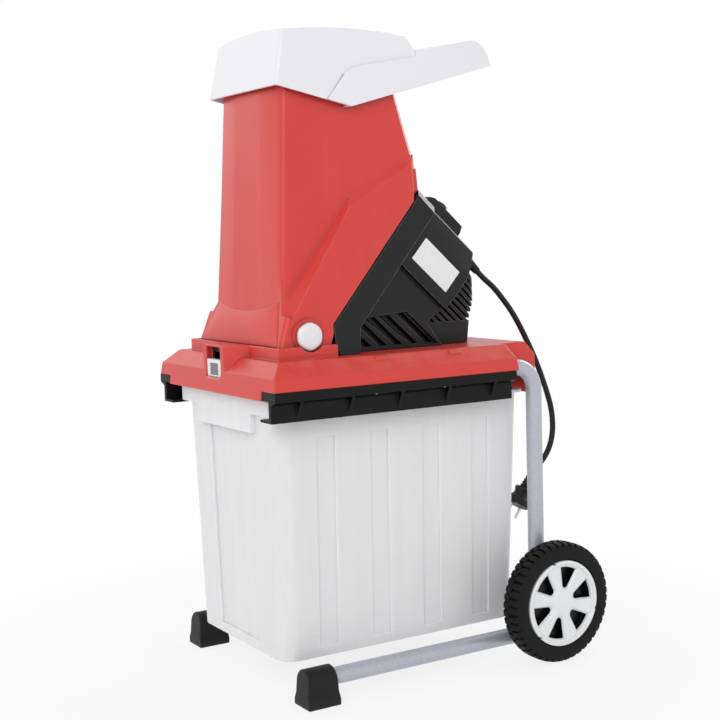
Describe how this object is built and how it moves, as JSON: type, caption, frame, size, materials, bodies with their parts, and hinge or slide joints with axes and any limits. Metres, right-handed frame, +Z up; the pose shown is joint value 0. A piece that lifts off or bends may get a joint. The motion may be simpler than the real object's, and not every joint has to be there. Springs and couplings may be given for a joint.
{
  "type": "electric garden shredder",
  "caption": "Electric garden shredder on a wheeled tube stand: tilting feed hopper with hood, slanted knife disc and motor, and a pull-out collection box under the base.",
  "frame": {"origin": "on the floor under the middle of the machine, halfway between the base's front edge and the rear of the wheels", "axes": "+X to the rear, where the wheels and the motor are; +Y to the right of someone standing behind it; +Z up"},
  "size_m": [0.5605, 0.478, 0.94],
  "materials": {
    "tube_paint": "smooth silver-grey powder coat",
    "foot_rubber": "matt",
    "bright_steel": "satin",
    "black_plastic": "fine grained, satin",
    "tyre": "matt rubber",
    "silver_plastic": "smooth silver-white",
    "red_plastic": "fine grained, satin",
    "rail_plastic": "fine grained, satin",
    "milky_plastic": "milky, slightly see-through",
    "label_white": "bare printed-plate white",
    "cast_aluminium": "cast, matt",
    "button_green": "satin",
    "button_red": "satin",
    "hood_plastic": "fine grained, satin, pale lavender grey",
    "cord_rubber": "smooth, satin",
    "pin_metal": "bright nickel"
  },
  "bodies": {
    "stand": {"frame_tube_left": "tube_paint", "frame_tube_right": "tube_paint", "foot_left": "foot_rubber", "foot_right": "foot_rubber", "axle": "bright_steel", "axle_spacers": "black_plastic", "axle_clips": "bright_steel", "base_tray": "red_plastic", "rail_left": "rail_plastic", "rail_right": "rail_plastic", "motor_flange": "black_plastic", "motor_cover": "black_plastic", "motor_cowl": "black_plastic", "label_plate": "label_white", "motor_can": "cast_aluminium", "stator": "bright_steel", "bearing_front": "bright_steel", "bearing_rear": "bright_steel", "switch_box": "black_plastic", "pivot_bolts": "bright_steel", "pivot_caps": "silver_plastic", "cord_gland": "cord_rubber", "power_cord": "cord_rubber", "plug_body": "cord_rubber", "plug_pins": "pin_metal"},
    "hopper_unit": {"hopper": "red_plastic", "feed_plate": "bright_steel", "hood": "hood_plastic"},
    "box": {"collection_box": "milky_plastic"},
    "latch": {"box_latch": "silver_plastic"},
    "wheel_unit_left": {"wheel_left": "black_plastic", "tyre_left": "tyre", "wheel_cover_left": "silver_plastic"},
    "wheel_unit_right": {"wheel_right": "black_plastic", "tyre_right": "tyre", "wheel_cover_right": "silver_plastic"},
    "cutter": {"motor_shaft": "bright_steel", "rotor": "bright_steel", "cooling_fan": "black_plastic", "blade_disc": "bright_steel", "blades": "bright_steel", "blade_screws": "bright_steel", "disc_bolt": "bright_steel"},
    "start": {"start_button": "button_green"},
    "stop": {"stop_button": "button_red"}
  },
  "joints": [
    {"name": "hopper_tilt", "type": "hinge", "parent": "stand", "child": "hopper_unit", "pos_m": [-0.181, 0, 0.505], "axis": [0, -1, 0], "range_deg": [0, 40]},
    {"name": "box_slide", "type": "slide", "parent": "stand", "child": "box", "axis": [-1, 0, 0], "range_m": [0, 0.38]},
    {"name": "latch_slide", "type": "slide", "parent": "stand", "child": "latch", "axis": [0, 0, 1], "range_m": [0, 0.016]},
    {"name": "wheel_left_spin", "type": "hinge", "parent": "stand", "child": "wheel_unit_left", "pos_m": [0.179, -0.22, 0.09], "axis": [0, 1, 0], "continuous": true},
    {"name": "wheel_right_spin", "type": "hinge", "parent": "stand", "child": "wheel_unit_right", "pos_m": [0.179, 0.22, 0.09], "axis": [0, 1, 0], "continuous": true},
    {"name": "cutter_spin", "type": "hinge", "parent": "stand", "child": "cutter", "pos_m": [-0.054, 0, 0.613], "axis": [0.7431, 0, -0.6691], "continuous": true},
    {"name": "start_press", "type": "slide", "parent": "stand", "child": "start", "axis": [-0.6691, 0, -0.7431], "range_m": [0, 0.0025], "stiffness_N_per_m": 400},
    {"name": "stop_press", "type": "slide", "parent": "stand", "child": "stop", "axis": [-0.6691, 0, -0.7431], "range_m": [0, 0.0025], "stiffness_N_per_m": 400}
  ]
}
